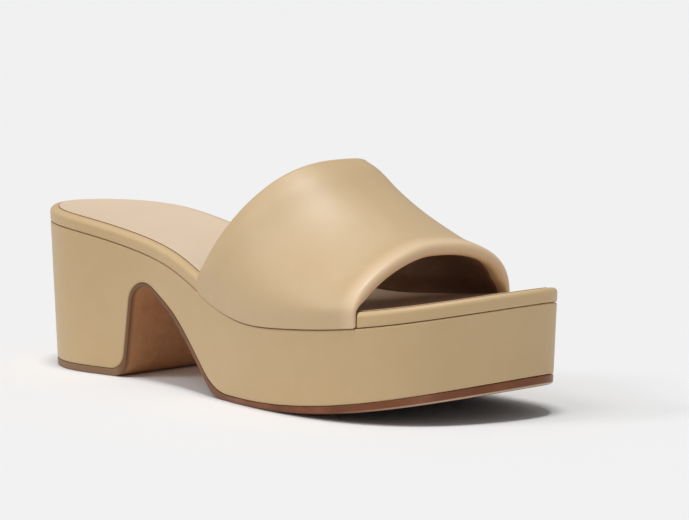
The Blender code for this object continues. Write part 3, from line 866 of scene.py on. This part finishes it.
# Where the outsole's tones begin and end, in metres from the back of the heel or above the floor
outsoleTones = {
    "heel": (0.058, 0.064),
    "heelBand": (0.0035, 0.0075),
    "forefoot": (0.095, 0.150),
    # where the underside turns to its painted near-black shade
    "bottom": (0.095, 0.120),
    "bevel": (0.200, 0.238),
    "bevelEdge": (0.55, 0.85),  # mm over the floor's edge
    "glintEdge": (0.2, 1.2),
    "streaks": 260.0,  # per metre
    "blotches": 60.0,
    "glints": 34.0,
    "glint": 0.4,
}


def outsoleLeather():
    tones = outsoleTones
    s = Shades("brown outsole leather")
    x, z = s.along("X"), s.along("Z")
    fromHeel = x + sole["heelCentre"]
    over = s.node("ShaderNodeAttribute", {"attribute_name": "overFloorEdge"}, {}, "Fac")
    onEdge = s.ramp(over, -0.5, 0.0)
    streaks = s.noise(tones["streaks"], 4.0, 0.6)
    blotch = s.noise(tones["blotches"], 3.0, 0.6)
    forefoot = s.ramp(fromHeel, *tones["forefoot"])
    bevelled = s.ramp(fromHeel, *tones["bevel"])
    atHeel = (1 - s.ramp(fromHeel, *tones["heel"])) * (1 - s.ramp(z, *tones["heelBand"]))
    edge = s.mix(s.ramp(blotch, 0.35, 0.7), leather["edge"], leather["edgeRed"])
    edge = s.mix(atHeel, edge, leather["taupe"])
    edge = s.mix((1 - forefoot) * (1 - atHeel), edge, leather["archEdge"])
    face = s.mix(s.ramp(streaks, 0.3, 0.7), leather["breast"], leather["breastPale"])
    # painted shade: past the arch the underside turns near black, so the floor under the sole stays dark
    face = s.mix(s.ramp(fromHeel, *tones["bottom"]), face, leather["bottom"])
    # painted glints: paler patches low on the forefoot's edge stand in for highlights on its gloss
    glint = s.ramp(s.noise(tones["glints"], 2.0, 0.5), 0.52, 0.66) * s.ramp(over, *tones["glintEdge"])
    edge = s.mix(glint * forefoot * tones["glint"], edge, leather["paintedGlint"])
    colour = s.mix(onEdge, face, edge)
    bevel = bevelled * (1 - s.ramp(over, *tones["bevelEdge"])) * onEdge
    colour = s.mix(bevel, colour, leather["pale"])
    return s.set({
        "Base Color": colour,
        "Roughness": 0.55 - onEdge * forefoot * 0.22 + (streaks - 0.5) * 0.2,
        "Normal": s.bump(streaks, 0.3, leather["grainDepth"]),
        "Specular IOR Level": 0.3,
    })


def sockLine(finish):
    # the sock's cut edge: a fine line that follows its outline
    ring = ringAt(lambda x: footbedTop(x) + sock["lift"], sock["margin"] - sock["lineRadius"])
    mesh = bpy.data.meshes.new("sockEdgePath")
    count = len(ring)
    mesh.from_pydata(placed(ring).tolist(), [(i, (i + 1) % count) for i in range(count)], [])
    thing = bpy.data.objects.new("sockEdge", mesh)
    bpy.context.scene.collection.objects.link(thing)
    tree = bpy.data.node_groups.new("edgeLine", "GeometryNodeTree")
    tree.interface.new_socket("Geometry", in_out="INPUT", socket_type="NodeSocketGeometry")
    radius = tree.interface.new_socket("Line radius", in_out="INPUT", socket_type="NodeSocketFloat")
    step = tree.interface.new_socket("Step length", in_out="INPUT", socket_type="NodeSocketFloat")
    leatherIn = tree.interface.new_socket("Finish", in_out="INPUT", socket_type="NodeSocketMaterial")
    tree.interface.new_socket("Geometry", in_out="OUTPUT", socket_type="NodeSocketGeometry")
    add, join = tree.nodes.new, tree.links.new
    source, sink = add("NodeGroupInput"), add("NodeGroupOutput")
    toCurve, resample = add("GeometryNodeMeshToCurve"), add("GeometryNodeResampleCurve")
    resample.mode = "LENGTH"
    profile, sweep = add("GeometryNodeCurvePrimitiveCircle"), add("GeometryNodeCurveToMesh")
    profile.inputs["Resolution"].default_value = 8
    realize, smooth = add("GeometryNodeRealizeInstances"), add("GeometryNodeSetShadeSmooth")
    finishNode = add("GeometryNodeSetMaterial")
    join(source.outputs["Geometry"], toCurve.inputs["Mesh"])
    join(toCurve.outputs["Curve"], resample.inputs["Curve"])
    join(source.outputs["Step length"], resample.inputs["Length"])
    join(source.outputs["Line radius"], profile.inputs["Radius"])
    join(resample.outputs["Curve"], sweep.inputs["Curve"])
    join(profile.outputs["Curve"], sweep.inputs["Profile Curve"])
    join(sweep.outputs["Mesh"], smooth.inputs["Geometry"])
    join(smooth.outputs["Geometry"], realize.inputs["Geometry"])
    join(realize.outputs["Geometry"], finishNode.inputs["Geometry"])
    join(source.outputs["Finish"], finishNode.inputs["Material"])
    join(finishNode.outputs["Geometry"], sink.inputs["Geometry"])
    modifier = thing.modifiers.new("edgeLine", "NODES")
    modifier.node_group = tree
    modifier[radius.identifier] = sock["lineRadius"]
    modifier[step.identifier] = sock["lineStep"]
    modifier[leatherIn.identifier] = finish
    made = bpy.data.meshes.new_from_object(thing.evaluated_get(bpy.context.evaluated_depsgraph_get()))
    thing.modifiers.clear()
    thing.data = made
    made.name = "sockEdge"
    return thing


# Lines and points that the pieces share

floorPath = withToe(roundedPath(underCorners()), 0, 0)
sides = outlineSides()
strapSeat = [
    (sole["length"] * strap["sections"][0][i], sole["length"] * strap["sections"][-1][i]) for i in (0, 1)
]
planPoint, planNormal, sideCount = makePlan()
isInner = np.arange(len(planPoint)) >= sideCount


# The finishes and the pieces

tan = smoothLeather("tan leather", "tan", "tanDeep", "tanPale")
# the strap's front rim carries painted light
strapTan = smoothLeather(
    "strap leather", "strap", "tanDeep", "tanPale", rough=0.46, grain=1.1, depth=1.2, paintedRimLight="paintedRimLight", shine=0.95
)
boardTan = smoothLeather("footbed leather", "tan", "tanDeep", "tanPale")
# the sock carries painted shade under the strap
sockTan = smoothLeather(
    "sock leather", "sock", "sockDeep", "tanPale", rough=0.6, grain=0.9, depth=1.2, toe="paintedSockShade", shine=0.18
)
# the lining's brown is darkened as painted shade
liningShadeBrown = smoothLeather("lining leather", "lining", "lining", "breast", rough=0.6)
lineBrown = smoothLeather("sock edge", "sockLine", "sockLine", "tanDeep", rough=0.6)
brown = outsoleLeather()
print("finishes made")

padded = strapPiece(strapTan)
pieces = [
    (blockPiece(tan), "platform_heel", "tan_leather"),
    (outsolePiece(brown), "outsole", "brown_outsole_leather"),
    (footbedPiece(boardTan), "footbed", "footbed_leather"),
    (sockPiece(sockTan), "sock_lining", "sock_leather"),
    (sockLine(lineBrown), "sock_lining", "sock_leather"),
    (padded, "upper", "strap_leather"),
    (liningPiece(liningShadeBrown), "upper_lining", "lining_leather"),
]
for thing, node, slot in pieces:
    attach(thing, "root")
    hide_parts(node)
print("pieces made:", ", ".join(thing.name for thing, _, _ in pieces))


# Floor, light and camera

studio = {
    "floor": (0.825, 0.825, 0.83),
    "floorHalf": 60.0,
    "world": 0.31,
    "seen": 0.88,  # how bright the world looks past the floor's edge
    "lights": [
        # name, azimuth, elevation, width of the light in degrees, strength
        ("top", 45, 84, 14, 1.75),
        ("high left", -12, 60, 26, 0.45),
        ("front left", -34, 38, 16, 0.5),
    ],
}


def backVector(azimuth, elevation):
    flat = math.cos(elevation)
    return Vector((math.sin(azimuth) * flat, -math.cos(azimuth) * flat, math.sin(elevation)))


def plainFloor():
    s = Shades("pale studio floor")
    return s.set({"Base Color": studio["floor"], "Roughness": 0.9, "Specular IOR Level": 0.1})


def aimed(name, data, back, distance):
    # puts a lamp or the camera back from the point that the camera looks at
    thing = bpy.data.objects.new(name, data)
    thing.location = camera["aim"] + back * distance
    thing.rotation_mode = "QUATERNION"
    thing.rotation_quaternion = (-back).to_track_quat("-Z", "Y")
    bpy.context.scene.collection.objects.link(thing)
    return thing


def makeFloor():
    half = studio["floorHalf"]
    mesh = bpy.data.meshes.new("studioFloor")
    corners = [(-half, -half, 0), (half, -half, 0), (half, half, 0), (-half, half, 0)]
    mesh.from_pydata(corners, [], [(0, 1, 2, 3)])
    mesh.materials.append(plainFloor())
    thing = bpy.data.objects.new("studioFloor", mesh)
    bpy.context.scene.collection.objects.link(thing)


def makeWorld():
    world = bpy.data.worlds.new("studio")
    bpy.context.scene.world = world
    world.use_nodes = True
    nodes, links = world.node_tree.nodes, world.node_tree.links
    plain, seen = nodes["Background"], nodes.new("ShaderNodeBackground")
    plain.inputs["Color"].default_value = seen.inputs["Color"].default_value = (1, 1, 1, 1)
    plain.inputs["Strength"].default_value = studio["world"]
    seen.inputs["Strength"].default_value = studio["seen"]
    path, mix = nodes.new("ShaderNodeLightPath"), nodes.new("ShaderNodeMixShader")
    links.new(path.outputs["Is Camera Ray"], mix.inputs[0])
    links.new(plain.outputs[0], mix.inputs[1])
    links.new(seen.outputs[0], mix.inputs[2])
    links.new(mix.outputs[0], nodes["World Output"].inputs["Surface"])


def makeLights():
    for name, azimuth, elevation, width, strength in studio["lights"]:
        lamp = bpy.data.lights.new(name, "SUN")
        lamp.angle, lamp.energy = math.radians(width), strength
        aimed(name, lamp, backVector(math.radians(azimuth), math.radians(elevation)), 1)


def makeCamera():
    lens = bpy.data.cameras.new("camera")
    lens.sensor_width, lens.lens = camera["sensor"], camera["lens"]
    back = backVector(camera["azimuth"], camera["elevation"])
    bpy.context.scene.camera = aimed("camera", lens, back, camera["distance"])


makeFloor()
makeWorld()
makeLights()
makeCamera()
bpy.context.scene.view_settings.view_transform = "Standard"
bpy.context.view_layer.update()
print("stage, lights and camera made")
